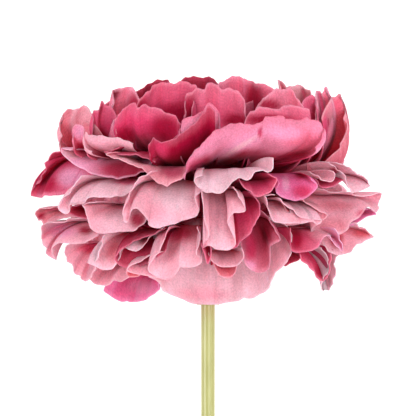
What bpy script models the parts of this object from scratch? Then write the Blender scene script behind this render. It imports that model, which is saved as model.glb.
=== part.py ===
"""An artificial carnation flower on a cut stem, lying on a surface.

A ruffled bloom of cloth petals stands in a green calyx, on a plastic stem with a steel wire inside it. The
flower is drawn in its own frame, in millimetres: right, up along the stem from the foot of the bloom, and
front towards a viewer. laid_down() then puts it on the surface, resting on the petals at its back and on the
cut end of its stem."""

import math
import random

import bmesh
import bpy
import numpy as np

MM = 0.001

# The bloom's outside, a dome that is widest at DOME_MIDDLE, in millimetres.
DOME_RADIUS = 64.0
DOME_MIDDLE = 36.0
DOME_ABOVE = 50.0
DOME_BELOW = 38.0

# Petals, in millimetres. Each is a fan of ribs, and STATIONS are places along a rib, where its edge is at 1.
PETAL_THICKNESS = 0.8
ROOT_RADIUS = 7.0
RIB_SPACING = 18.0
FEWEST_RIBS = 4
MOST_RIBS = 7
STATIONS = (0.4, 0.72, 1.0)

# A rib is a cubic curve. These are its two handles' shares of the way out and, in a cup, of the rise.
CUP_OUT = (0.8, 1.05)
CUP_RISE = (0.1, 0.45)
BULGE_ABOVE = 60.0
BULGE = 0.008  # more of the way out for each millimetre above BULGE_ABOVE
SKIRT_OUT = (0.4, 0.9)
SKIRT_ROOT = 0.5  # of the crest's height
END_SHARE = 0.125  # that each end has in the middle of a cubic curve

# The petals at the heart, in millimetres.
HEART_PETALS = 7
HEART_ROOT = 44
HEART_TOP = 80
HEART_NEAR = 4  # from the axis
HEART_SPREAD = 22
HEART_HALF_WIDTH = (9, 13)
HEART_CORNERS = 7
HEART_RUFFLE = 1.5
HEART_HOLLOW = 5
HEART_SLOPE = 0.012
GOLDEN_ANGLE = math.radians(137.508)

# The petals at the back, in millimetres and degrees round from the front.
BACK_FROM = 108.0
BACK_ARC = 360 - 2 * BACK_FROM
BACK_GAP = 2.5  # on each side of a petal
BACK_SHIFT = 2
BACK_ARCH = 8  # from the middle of an edge to its corners
RESTING_REACH = 9.0  # of the resting ring beyond the dome, before the surface presses it
# Their rings: way of growing, height of the root or crest, height of the edge, number, and how far off the
# surface they are pressed. The third ring lies on it.
BACK_RINGS = (
    ("skirt", 22, 6, 4, 3.0),
    ("skirt", 34, 20, 5, 1.6),
    ("skirt", 47, 33, 6, 0.0),
    ("skirt", 60, 46, 5, 1.6),
    ("cup", 30, 66, 4, 3.0),
    ("cup", 30, 79, 3, 3.0),
)

# The core that the petals stand out of, in millimetres.
CORE_RADIUS = 49.0
CORE_MIDDLE = 40.0
CORE_HALF_HEIGHT = 33.0

# The stem and what it holds, in millimetres.
GAP = 0.3
STEM_RADIUS = 2.6
STEM_END = -165.0
STEM_TOP = CORE_MIDDLE - CORE_HALF_HEIGHT - GAP
WIRE_RADIUS = 0.9
WIRE_INSET = 1.0  # from each end of the stem
CALYX_FOOT = -1.0
CALYX_SIDE = ((4.2, CALYX_FOOT), (5.4, 1.0), (6.4, 4.5), (6.6, STEM_TOP))  # (radius, up)

# The pose on the surface. The axis is AXIS_HEIGHT above it at REST_UP along the stem.
AXIS_HEIGHT = 54.0
REST_UP = 38.0
REACH = REST_UP - STEM_END
TILT = math.asin(AXIS_HEIGHT / math.hypot(REACH, STEM_RADIUS)) - math.atan(STEM_RADIUS / REACH)
PLACE_RIGHT = 1.25
PLACE_ALONG = 74.15
FLAT_SPOT = 0.3  # the bloom's points that are lower than this lie on the surface
FLOOR_RISE = 3.0  # of a petal's inner end over its outer part, where it is pressed flat
WELD = 0.00001  # metres
SHARP_ANGLE = math.radians(40)

# Each petal that the front view shows: its way of growing, the height of its root or crest, how far its edge
# stands off the dome, and its free edge from one side round to the other, as (right, up) in millimetres. A
# cup rises from its root, and a skirt goes over its crest and droops.
PETALS = {
    "left_back": ("cup", 30, -9, [(-48, 55), (-53.5, 56), (-55, 58.5), (-54.5, 62), (-55.3, 67), (-52.8, 72),
        (-50, 72.7), (-48.5, 72.3), (-46, 73.6), (-43.5, 70.5), (-41.8, 66), (-40, 61)]),
    "left_point": ("cup", 34, -6, [(-42.5, 60), (-42.3, 66), (-42.3, 71), (-40.2, 71.5), (-39.2, 72.3),
        (-38.8, 74.9), (-37.8, 73.4), (-36.2, 72.6), (-34, 70), (-32, 62)]),
    "upper_left": ("cup", 30, -7, [(-34, 60), (-35.5, 68.7), (-35.8, 72), (-35.2, 76.5), (-34.5, 79.2),
        (-32.5, 79.1), (-29.2, 80.6), (-26, 76.5), (-22, 68)]),
    "top_left": ("cup", 30, -8, [(-26, 62), (-26, 72), (-25, 75.5), (-23.5, 77), (-20, 80), (-16.2, 82),
        (-12, 81.3), (-8, 81.7), (-5, 80.3), (-3.5, 78.8), (-6, 70), (-7, 60)]),
    "top_back": ("cup", 30, -18, [(-12, 68), (-11, 80), (-8, 83.2), (-5.5, 84.2), (-1, 84.2), (2.5, 82.6),
        (4, 79), (4, 68)]),
    "top_middle": ("cup", 30, -8, [(-8.5, 64), (-8.3, 75.5), (-6, 77.5), (-4, 78.8), (-1, 79), (1, 81.5),
        (3, 80), (5, 79), (8.5, 79.2), (12.5, 76), (14, 72), (14, 62)]),
    "top_right": ("cup", 30, -15, [(1, 66), (1.5, 78), (5, 82), (7, 83.6), (10, 84.1), (13, 83), (16, 82.8),
        (18, 81), (21.5, 80.9), (24.5, 79.7), (25.5, 77), (26, 66)]),
    "upper_right": ("cup", 30, -7, [(15, 62), (17, 70), (18.8, 73.5), (22.5, 77.3), (25, 78.8), (29, 79.5),
        (31, 78.5), (33, 76), (35, 72), (35, 62)]),
    "right_spike": ("cup", 30, -15, [(24, 66), (26, 76), (27, 80), (26.2, 83), (27.7, 82), (30.2, 80.4),
        (33.5, 81.3), (36.3, 80.8), (38.2, 78), (38, 74), (37, 66)]),
    "right_narrow": ("cup", 30, -9, [(40, 60), (39.8, 72), (40.6, 78.5), (42.6, 77.9), (43.5, 80.3),
        (44.3, 80.7), (45.2, 77), (45, 72), (45, 60)]),
    "right_cup": ("cup", 28, -4, [(43, 66), (45.5, 76), (48, 77.2), (49, 78.1), (50, 77.6), (52, 73),
        (52.4, 71), (51.3, 68.6), (52.2, 64), (50, 59.3), (46, 55.3), (42.3, 51.8), (36, 51)]),
    "toothed_cup": ("cup", 30, 0, [(-28, 57), (-33, 61.5), (-33.3, 67), (-31.5, 70), (-30.2, 71.3),
        (-28, 73.5), (-26.3, 73), (-25.5, 71.7), (-23.2, 73.4), (-20, 72), (-15, 70), (-11.3, 68), (-10, 64),
        (-11, 58), (-12, 52)]),
    "right_inner": ("cup", 32, -5, [(12, 60), (13.2, 66), (15, 70), (19, 71.8), (24, 71.3), (28, 72.5),
        (30, 73.3), (33, 72.2), (36, 71), (37.5, 67.3), (38, 60)]),
    "crimson_cup": ("cup", 34, 3, [(-18.5, 51), (-21, 55.5), (-20.8, 58.5), (-19.4, 60.8), (-16.1, 58.8),
        (-12.9, 59.8), (-10, 61.6), (-5, 65.8), (-1.3, 69.8), (0.5, 72.3), (4, 70.8), (8, 66), (8, 58)]),
    "great_right": ("skirt", 40, 6, [(-8.6, 45.4), (-7.1, 50.5), (-3.9, 55.8), (0, 60), (5, 64.3), (10, 65.7),
        (15.8, 65), (21, 68.6), (26, 67.5), (31, 66.2), (36, 68), (41.8, 65), (42.3, 61), (40, 56.5), (33, 53.2)]),
    "far_left": ("skirt", 57, -5, [(-52, 56), (-57, 56), (-60.5, 52), (-61.2, 46.5), (-66.1, 40),
        (-60, 39.7), (-51, 40.3), (-47, 45), (-40, 48)]),
    "left_lilac": ("skirt", 57, 0, [(-48, 57), (-53.8, 58), (-53.2, 55), (-49, 51), (-40, 47.3),
        (-32, 46), (-26, 47), (-22, 49), (-20, 51)]),
    "left_strip": ("skirt", 56, 3, [(-34, 55.5), (-37, 55), (-33, 53), (-25, 50.8), (-20.5, 46.5),
        (-14.8, 42.8), (-9, 45.8), (-7, 49)]),
    "great_left": ("skirt", 48, 3, [(-46, 46.5), (-52, 38.7), (-53.5, 34), (-50, 36.3), (-43, 38.3),
        (-34, 39.2), (-28, 41.5), (-24, 45), (-21, 48)]),
    "left_second": ("skirt", 38, 1, [(-40, 37.5), (-46, 36.8), (-44.3, 34.3), (-43.5, 30), (-40, 26.3),
        (-33, 26.6), (-26.5, 27.3), (-22, 31.5), (-20, 35)]),
    "left_curl": ("skirt", 36, -5, [(-52, 35.3), (-63, 35), (-63.6, 31), (-61.8, 30.8), (-60.8, 28.5),
        (-59.3, 30), (-55, 31), (-52, 32), (-46, 30)]),
    "left_hook": ("skirt", 32, -3, [(-46, 31.8), (-53, 30.7), (-60.3, 28.7), (-62, 24), (-59.8, 20),
        (-57.5, 16.2), (-57.5, 19.5), (-55.5, 21.8), (-47, 21.9), (-40, 25)]),
    "left_round": ("skirt", 24, -9, [(-46, 22.5), (-52, 22), (-52.8, 18), (-50, 12), (-45.5, 8.1),
        (-41.5, 13), (-38.5, 20)]),
    "low_magenta": ("skirt", 13, -16, [(-33, 12), (-36.5, 8), (-38.3, 4.2), (-34.5, 0.9), (-29, -0.2),
        (-22.5, 1.3), (-17.6, 5), (-18.5, 8.3), (-20, 12)]),
    "left_third": ("skirt", 28, 0, [(-38.5, 25), (-38, 22.5), (-40, 17), (-44, 15.3), (-38.5, 12.8),
        (-34, 14.5), (-32, 19.5), (-28.5, 20.3), (-23, 21.5), (-18.5, 26), (-15, 29)]),
    "middle_left": ("skirt", 49, 5, [(-20, 47), (-24.5, 44.5), (-29.3, 37.5), (-29.8, 30), (-27, 33.5),
        (-23.5, 33), (-20, 28.3), (-11, 30), (-3.7, 34), (-4.5, 39), (-3, 43)]),
    "low_pale": ("skirt", 30, 4, [(-17, 27), (-19, 21), (-25, 16.3), (-29, 13), (-22, 11.3), (-16, 9.6),
        (-11, 13), (-3, 15), (-3, 21), (-3, 28)]),
    "middle_pale": ("skirt", 53, 5, [(-3.5, 46.2), (-4.8, 45), (-2.5, 42), (2, 40.4), (7.5, 42.7),
        (11, 45.8), (15.5, 46), (17.3, 48.3), (22.7, 49.5), (23.2, 53)]),
    "middle_tongue": ("skirt", 43, 6, [(-3, 42), (-2.6, 37), (-0.4, 25), (-1.8, 20.9), (5.7, 20.1),
        (9.2, 22), (7.3, 30.5), (12.8, 33.6), (13.9, 36), (10, 42)]),
    "mauve": ("skirt", 34, 0, [(12, 30), (12.5, 17), (17, 12.2), (21.3, 13), (22, 20.5), (26, 23.5),
        (24, 28.5), (20, 34)]),
    "guard": ("skirt", 33, -4, [(-17, 28), (-21, 18), (-20, 9.5), (-16.1, 4.8), (-11, 2), (-4.5, -0.1),
        (2.5, -0.3), (12.7, 2.2), (19.8, 4), (25, 10.7), (30.2, 19), (29, 27.5), (24, 32)]),
    "pointed": ("skirt", 51, 3, [(27, 47), (24.2, 41), (28.5, 38.2), (34, 38.5), (39.5, 43.5), (35, 48),
        (32, 50)]),
    "right_pale": ("skirt", 53, 0, [(38, 49), (41.5, 45.5), (46, 45), (48, 46), (51.5, 43), (54.5, 41.5),
        (59.9, 43.8), (55.5, 47.5), (47, 51.8), (43, 53)]),
    "right_long": ("skirt", 42, -2, [(40, 30), (37.5, 26.8), (43, 25.2), (50, 26.5), (52.5, 30),
        (57, 33.5), (63, 34.5), (64.1, 38), (64, 40.2), (56, 40.3), (46, 41.5), (40, 42)]),
    "right_fold": ("skirt", 40, 3, [(20.5, 39), (22, 33), (27, 30), (34, 30), (41, 30), (42.5, 32.8),
        (38, 36), (32, 39)]),
    "right_lower": ("skirt", 30, -6, [(42, 21), (46, 18.5), (52.5, 19), (54.8, 21.8), (61.2, 24.3),
        (59, 26.8), (53.5, 29.5), (48, 30)]),
    "right_funnel": ("skirt", 30, -1, [(30, 28), (30.5, 19.5), (38, 20), (43, 25), (49.2, 19.3), (50, 22),
        (46, 28)]),
    "low_right": ("skirt", 22, -9, [(32, 21), (38, 12.5), (43, 4.8), (46, 5), (46.7, 14), (48, 18),
        (44, 22)]),
}


def smooth_line(points, count):
    """A smooth line through the points, as evenly spaced ones."""
    points = np.array(points, float)
    ends = np.vstack([2 * points[0] - points[1], points, 2 * points[-1] - points[-2]])
    t = np.linspace(0, 1, 8, endpoint=False)[:, None]
    runs = []
    for a, b, c, d in zip(ends, ends[1:], ends[2:], ends[3:]):
        runs.append(
            0.5 * (2 * b + (c - a) * t + (2 * a - 5 * b + 4 * c - d) * t**2 + (3 * b - a - 3 * c + d) * t**3)
        )
    line = np.vstack([*runs, points[-1:]])
    steps = np.linalg.norm(np.diff(line, axis=0), axis=1)
    along = np.concatenate([[0], np.cumsum(steps)])
    wanted = np.linspace(0, along[-1], count)
    return np.stack([np.interp(wanted, along, line[:, i]) for i in range(line.shape[1])], axis=1)


def dome_front(right, up):
    """How far in front of the axis the bloom's outside is at each place of the front view."""
    half = np.where(up > DOME_MIDDLE, DOME_ABOVE, DOME_BELOW)
    ring = DOME_RADIUS * np.maximum(1 - np.abs((up - DOME_MIDDLE) / half) ** 2.5, 0) ** 0.4
    return np.sqrt(np.maximum(ring**2 - right**2, 0))


def ribs_to(edge, kind, height, stations):
    """The petal's grid of points, by rib and by station, from its root at the axis out to its edge."""
    middle = edge.mean(axis=0)
    across = math.hypot(middle[0], middle[2])
    toward = np.array([middle[0], 0, middle[2]]) / max(across, 1e-6)
    root_up = height if kind == "cup" else SKIRT_ROOT * height
    root = toward * ROOT_RADIUS + np.array([0, root_up, 0])
    out = edge - root
    out[:, 1] = 0
    rise = edge[:, 1] - root_up
    if kind == "cup":
        bulge = CUP_OUT[1] + BULGE * np.maximum(edge[:, 1] - BULGE_ABOVE, 0)
        first = root + out * CUP_OUT[0]
        first[:, 1] = root_up + CUP_RISE[0] * rise
        second = root + out * bulge[:, None]
        second[:, 1] = root_up + CUP_RISE[1] * rise
    else:
        crest = np.maximum(height, edge[:, 1] + 1)
        control = (crest - END_SHARE * (root_up + edge[:, 1])) / (1 - 2 * END_SHARE)
        first = root + out * SKIRT_OUT[0]
        second = root + out * SKIRT_OUT[1]
        first[:, 1] = control
        second[:, 1] = control
    v = np.array(stations)[None, :, None]
    first, second, edge = first[:, None], second[:, None], edge[:, None]
    return root * (1 - v) ** 3 + 3 * first * v * (1 - v) ** 2 + 3 * second * v**2 * (1 - v) + edge * v**3


def turned(points, angle):
    """The points turned about the flower's axis."""
    c, s = math.cos(angle), math.sin(angle)
    right, up, front = points[..., 0], points[..., 1], points[..., 2]
    return np.stack([right * c + front * s, up, front * c - right * s], axis=-1)


def laid_down(points):
    """Points of the flower's frame, in the lying flower's place on the surface."""
    right, up, front = points[..., 0], points[..., 1] - REST_UP, points[..., 2]
    c, s = math.cos(TILT), math.sin(TILT)
    along = up * c - front * s
    return np.stack([PLACE_RIGHT + right, PLACE_ALONG + along, AXIS_HEIGHT + up * s + front * c], axis=-1)


def slab(grid):
    """A closed blade round the grid, with both faces split into triangles alike: its points and its faces."""
    rows, columns, _ = grid.shape
    along = np.gradient(grid, axis=0)
    outward = np.gradient(grid, axis=1)
    normal = np.cross(along, outward)
    normal /= np.maximum(np.linalg.norm(normal, axis=2, keepdims=True), 1e-9)
    half = normal * PETAL_THICKNESS / 2
    points = np.concatenate([(grid + half).reshape(-1, 3), (grid - half).reshape(-1, 3)])
    number = np.arange(rows * columns).reshape(rows, columns)
    below = number + rows * columns
    faces = []
    for i in range(rows - 1):
        for j in range(columns - 1):
            a, b, c, d = number[i, j], number[i + 1, j], number[i + 1, j + 1], number[i, j + 1]
            faces += [(a, b, c), (a, c, d)]
            a, b, c, d = below[i, j], below[i + 1, j], below[i + 1, j + 1], below[i, j + 1]
            faces += [(c, b, a), (d, c, a)]
    border = [*number[:, 0], *number[-1, 1:], *number[-2::-1, -1], *number[0, -2:0:-1]]
    for a, b in zip(border, [*border[1:], border[0]]):
        faces += [(b, a, a + rows * columns), (b, a + rows * columns, b + rows * columns)]
    return points, faces


def front_petals():
    """Each petal of the table: its edge in the flower's frame, way of growing, height, and distance off the
    surface."""
    for kind, height, off, outline in PETALS.values():
        flat = np.array(outline, float)
        length = np.linalg.norm(np.diff(flat, axis=0), axis=1).sum()
        count = int(min(max(round(length / RIB_SPACING), FEWEST_RIBS), MOST_RIBS))
        edge = smooth_line(flat, count)
        front = dome_front(edge[:, 0], edge[:, 1]) + off
        yield np.column_stack([edge, front]), kind, height, 0


def back_petals(draw):
    """The petals at the back, which the front view doesn't show, in rings by rule."""
    for kind, height, low, count, floor in BACK_RINGS:
        for k in range(count):
            turn = draw.uniform(-BACK_SHIFT, BACK_SHIFT)
            around = math.radians(BACK_FROM + BACK_ARC * (k + 0.5) / count + turn)
            half = math.radians(0.5 * BACK_ARC / count - BACK_GAP)
            s = np.linspace(-1, 1, FEWEST_RIBS)
            arch = BACK_ARCH if kind == "skirt" else -BACK_ARCH
            up = low + draw.uniform(-BACK_SHIFT, BACK_SHIFT) + arch * s**2
            out = dome_front(0, up) + (RESTING_REACH * math.cos(around) ** 4 if floor == 0 else 0)
            edge = np.column_stack([out * np.sin(around + half * s), up, out * np.cos(around + half * s)])
            yield edge, kind, height, floor


def heart_petals(draw):
    """Small upright petals that fill the top, each at the golden angle from the last and further out."""
    for k in range(HEART_PETALS):
        far = HEART_NEAR + HEART_SPREAD * math.sqrt(k / HEART_PETALS)
        wide = draw.uniform(*HEART_HALF_WIDTH)
        top = HEART_TOP - HEART_SLOPE * far**2 + draw.uniform(-2.5, 1.5)
        s = np.linspace(-1, 1, 5)
        up = top - HEART_CORNERS * s**4 - HEART_RUFFLE * np.cos(7 * s)
        front = far + HEART_HOLLOW / 2 - HEART_HOLLOW * s**2
        edge = np.column_stack([wide * s, up, front])
        yield turned(edge, k * GOLDEN_ANGLE), "cup", HEART_ROOT, 0


def add_mesh(name, points, faces):
    mesh = bpy.data.meshes.new(name)
    mesh.from_pydata([tuple(p) for p in points], [], faces)
    mesh.validate()
    item = bpy.data.objects.new(name, mesh)
    bpy.context.scene.collection.objects.link(item)
    return item


def faces_out(item):
    """The item's faces turned to face out."""
    work = bmesh.new()
    work.from_mesh(item.data)
    bmesh.ops.recalc_face_normals(work, faces=work.faces)
    work.to_mesh(item.data)
    work.free()


def revolved(name, profile, sides):
    """A closed solid of revolution about the stem's line: the profile is (radius, up), from axis to axis."""
    points = []
    faces = []
    rings = []
    for radius, up in profile:
        start = len(points)
        if radius == 0:
            points.append((0, up, 0))
            rings.append([start] * sides)
            continue
        for k in range(sides):
            angle = 2 * math.pi * k / sides
            points.append((radius * math.sin(angle), up, radius * math.cos(angle)))
        rings.append(list(range(start, start + sides)))
    for lower, upper in zip(rings, rings[1:]):
        for k in range(sides):
            m = (k + 1) % sides
            if lower[k] != lower[m]:
                faces.append((lower[k], lower[m], upper[k]))
            if upper[k] != upper[m]:
                faces.append((lower[m], upper[m], upper[k]))
    item = add_mesh(name, laid_down(np.array(points, float)) * MM, faces)
    faces_out(item)
    return item


def tube_profile(inner, outer, low, high):
    """The closed profile of a sleeve, from its inner low corner round."""
    return [(inner, low), (outer, low), (outer, high), (inner, high)]


def sleeve(name, profile, sides):
    """A solid of revolution with a hole through it: the profile is closed and stays off the axis."""
    points = []
    faces = []
    count = len(profile)
    for k in range(sides):
        angle = 2 * math.pi * k / sides
        points += [(r * math.sin(angle), up, r * math.cos(angle)) for r, up in profile]
    for k in range(sides):
        m = (k + 1) % sides
        for i in range(count):
            j = (i + 1) % count
            a, b = k * count + i, k * count + j
            c, d = m * count + j, m * count + i
            faces += [(a, b, c), (a, c, d)]
    item = add_mesh(name, laid_down(np.array(points, float)) * MM, faces)
    faces_out(item)
    return item


def core_solid():
    """The bloom's inner mass, an egg that every petal's root lies in."""
    steps = 10
    profile = [(0, CORE_MIDDLE - CORE_HALF_HEIGHT)]
    for k in range(1, steps):
        angle = math.pi * k / steps
        profile.append((CORE_RADIUS * math.sin(angle), CORE_MIDDLE - CORE_HALF_HEIGHT * math.cos(angle)))
    profile.append((0, CORE_MIDDLE + CORE_HALF_HEIGHT))
    return revolved("bloom", profile, 20)


def fuse(item, others):
    """Joins the closed solids into one mesh and removes them."""
    group = bpy.data.collections.new("petals")
    bpy.context.scene.collection.children.link(group)
    for other in others:
        bpy.context.scene.collection.objects.unlink(other)
        group.objects.link(other)
    union = item.modifiers.new("union", "BOOLEAN")
    union.operation = "UNION"
    union.operand_type = "COLLECTION"
    union.collection = group
    union.solver = "MANIFOLD"
    bpy.context.view_layer.objects.active = item
    bpy.ops.object.modifier_apply(modifier="union")
    for other in others:
        bpy.data.objects.remove(other)
    bpy.data.collections.remove(group)


def keep_largest(item):
    """Drops loose scraps and the inner walls of sealed hollows, which leaves the one outer skin."""
    work = bmesh.new()
    work.from_mesh(item.data)
    bmesh.ops.triangulate(work, faces=work.faces)
    bmesh.ops.dissolve_degenerate(work, dist=WELD, edges=work.edges)
    left = set(work.faces)
    largest = []
    while left:
        found = [left.pop()]
        for face in found:
            for edge in face.edges:
                for near in edge.link_faces if edge.is_manifold else ():
                    if near in left:
                        left.remove(near)
                        found.append(near)
        largest = max(largest, found, key=len)
    kept = set(largest)
    bmesh.ops.delete(work, geom=[face for face in work.faces if face not in kept], context="FACES")
    work.to_mesh(item.data)
    work.free()


def flatten_spots(item):
    """Puts the lowest points exactly on the surface."""
    for point in item.data.vertices:
        if point.co.z < FLAT_SPOT * MM:
            point.co.z = 0


def make_bloom():
    draw = random.Random(7)
    bloom = core_solid()
    blades = []
    petals = [*front_petals(), *back_petals(draw), *heart_petals(draw)]
    rise = PETAL_THICKNESS / 2 + np.array([FLOOR_RISE, 0, 0])
    for edge, kind, height, floor in petals:
        grid = laid_down(ribs_to(edge, kind, height, STATIONS))
        grid[..., 2] = np.maximum(grid[..., 2], floor + rise)
        points, faces = slab(grid)
        blade = add_mesh(f"petal_{len(blades)}", points * MM, faces)
        faces_out(blade)
        blades.append(blade)
    fuse(bloom, blades)
    keep_largest(bloom)
    flatten_spots(bloom)
    return bloom


def coat(item, color, roughness, metallic=0.0):
    material = bpy.data.materials.new(item.name)
    material.use_nodes = True
    shader = material.node_tree.nodes["Principled BSDF"]
    shader.inputs["Base Color"].default_value = (*color, 1)
    shader.inputs["Roughness"].default_value = roughness
    shader.inputs["Metallic"].default_value = metallic
    item.data.materials.append(material)


def shade_round(item):
    """Smooth shading, apart from edges sharper than SHARP_ANGLE."""
    item.data.shade_smooth()
    item.data.set_sharp_from_angle(angle=SHARP_ANGLE)


for thing in list(bpy.data.objects):
    bpy.data.objects.remove(thing)

bloom = make_bloom()
coat(bloom, (0.62, 0.16, 0.27), 0.85)

bore = STEM_RADIUS + GAP
calyx = sleeve("calyx", [(bore, CALYX_FOOT), *CALYX_SIDE, (bore, STEM_TOP)], 24)
coat(calyx, (0.42, 0.46, 0.2), 0.5)

stem = sleeve("stem", tube_profile(WIRE_RADIUS + GAP, STEM_RADIUS, STEM_END, STEM_TOP), 20)
coat(stem, (0.5, 0.54, 0.2), 0.3)

wire_low = STEM_END + WIRE_INSET
wire_high = STEM_TOP - WIRE_INSET
wire_profile = [(0, wire_low), (WIRE_RADIUS, wire_low), (WIRE_RADIUS, wire_high), (0, wire_high)]
wire = revolved("stem_wire", wire_profile, 12)
coat(wire, (0.5, 0.5, 0.5), 0.4, metallic=1.0)

for item in (calyx, stem, wire):
    shade_round(item)
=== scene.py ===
"""Looks for the artificial carnation that lies on its side: cloth petals, green calyx and glossy stem.

The flower is drawn in its own frame, in millimetres: right, up along the stem from the foot of the bloom, and
front towards the viewer. laid_down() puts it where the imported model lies."""

import math
import random

import bpy
import numpy as np
from mathutils import Matrix, Vector


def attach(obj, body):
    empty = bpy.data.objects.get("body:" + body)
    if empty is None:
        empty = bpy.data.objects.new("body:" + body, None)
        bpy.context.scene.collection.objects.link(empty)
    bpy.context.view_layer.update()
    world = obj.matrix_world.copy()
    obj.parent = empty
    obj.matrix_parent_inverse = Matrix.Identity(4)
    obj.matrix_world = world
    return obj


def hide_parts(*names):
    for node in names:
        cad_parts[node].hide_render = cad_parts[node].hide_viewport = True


MM = 0.001

# The bloom's outside, a dome that is widest at DOME_MIDDLE, in millimetres.
DOME_RADIUS = 64.0
DOME_MIDDLE = 36.0
DOME_ABOVE = 50.0
DOME_BELOW = 38.0

# Petals, in millimetres.
CLOTH = 0.3
ROOT_RADIUS = 7.0
GRID = 0.9  # between the points of a petal's edge
STATIONS = 22
WAVY_REACH = 75.0  # a petal with this much edge has its full waves and folds
FOLLOW = 0.55  # how closely an edge follows the dome: at 0 it stands straight

# The stem, in millimetres.
STEM_RADIUS = 2.6
STEM_END = -165.0

# The pose on the surface. The axis is AXIS_HEIGHT above it at REST_UP along the stem.
AXIS_HEIGHT = 54.0
REST_UP = 38.0
REACH = REST_UP - STEM_END
TILT = math.asin(AXIS_HEIGHT / math.hypot(REACH, STEM_RADIUS)) - math.atan(STEM_RADIUS / REACH)
PLACE_RIGHT = 1.25
PLACE_ALONG = 74.15
PRESS_BELOW = 5.0  # what is lower than this is eased down onto the surface

# The photograph's view: what is in its middle, its width there, and how far the camera stands, in millimetres.
VIEW_UP = 35.25
VIEW_WIDTH = 156.0
VIEW_DISTANCE = 1400.0
LIGHT_DISTANCE = 1.8  # metres

# Colours of dye and of painted light: the colour at the root, in the body and at the edge, and how far out the root's
# colour reaches. The bodies also serve as painted highlights and painted shade in the patches below, and the edges are
# partly painted highlights along the rim.
DYES_AND_PAINTED_LIGHT = {
    "pale": ((0.50, 0.02, 0.08), (0.80, 0.42, 0.50), (0.82, 0.50, 0.57), 0.40),
    "shell": ((0.46, 0.015, 0.06), (0.72, 0.43, 0.50), (0.76, 0.49, 0.55), 0.40),
    "blush": ((0.46, 0.010, 0.05), (0.75, 0.32, 0.40), (0.80, 0.45, 0.52), 0.42),
    "dusty": ((0.42, 0.008, 0.04), (0.67, 0.21, 0.27), (0.78, 0.38, 0.44), 0.42),
    "rose": ((0.32, 0.003, 0.028), (0.56, 0.040, 0.120), (0.80, 0.26, 0.36), 0.42),
    "pink": ((0.36, 0.005, 0.035), (0.64, 0.080, 0.170), (0.81, 0.32, 0.42), 0.42),
    "candy": ((0.40, 0.008, 0.045), (0.73, 0.145, 0.24), (0.82, 0.36, 0.46), 0.40),
    "coral": ((0.40, 0.010, 0.04), (0.68, 0.14, 0.19), (0.80, 0.36, 0.40), 0.38),
    "crimson": ((0.19, 0.001, 0.014), (0.31, 0.003, 0.031), (0.72, 0.20, 0.30), 0.45),
    "magenta": ((0.36, 0.004, 0.05), (0.65, 0.11, 0.27), (0.80, 0.30, 0.48), 0.38),
    "lavender": ((0.44, 0.012, 0.07), (0.71, 0.27, 0.42), (0.79, 0.42, 0.56), 0.42),
    "mauve": ((0.24, 0.003, 0.03), (0.42, 0.050, 0.105), (0.68, 0.30, 0.39), 0.44),
    "clay": ((0.36, 0.008, 0.035), (0.57, 0.115, 0.165), (0.77, 0.34, 0.40), 0.44),
    "fuchsia": ((0.32, 0.003, 0.035), (0.50, 0.030, 0.095), (0.76, 0.22, 0.33), 0.44),
    "orchid": ((0.34, 0.004, 0.035), (0.69, 0.22, 0.34), (0.76, 0.15, 0.24), 0.42),
    # maroon is painted deep shade: it colours the sheets set back between petals and the patches in hollows.
    "maroon": ((0.09, 0.001, 0.008), (0.18, 0.004, 0.020), (0.50, 0.07, 0.13), 0.44),
}


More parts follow.
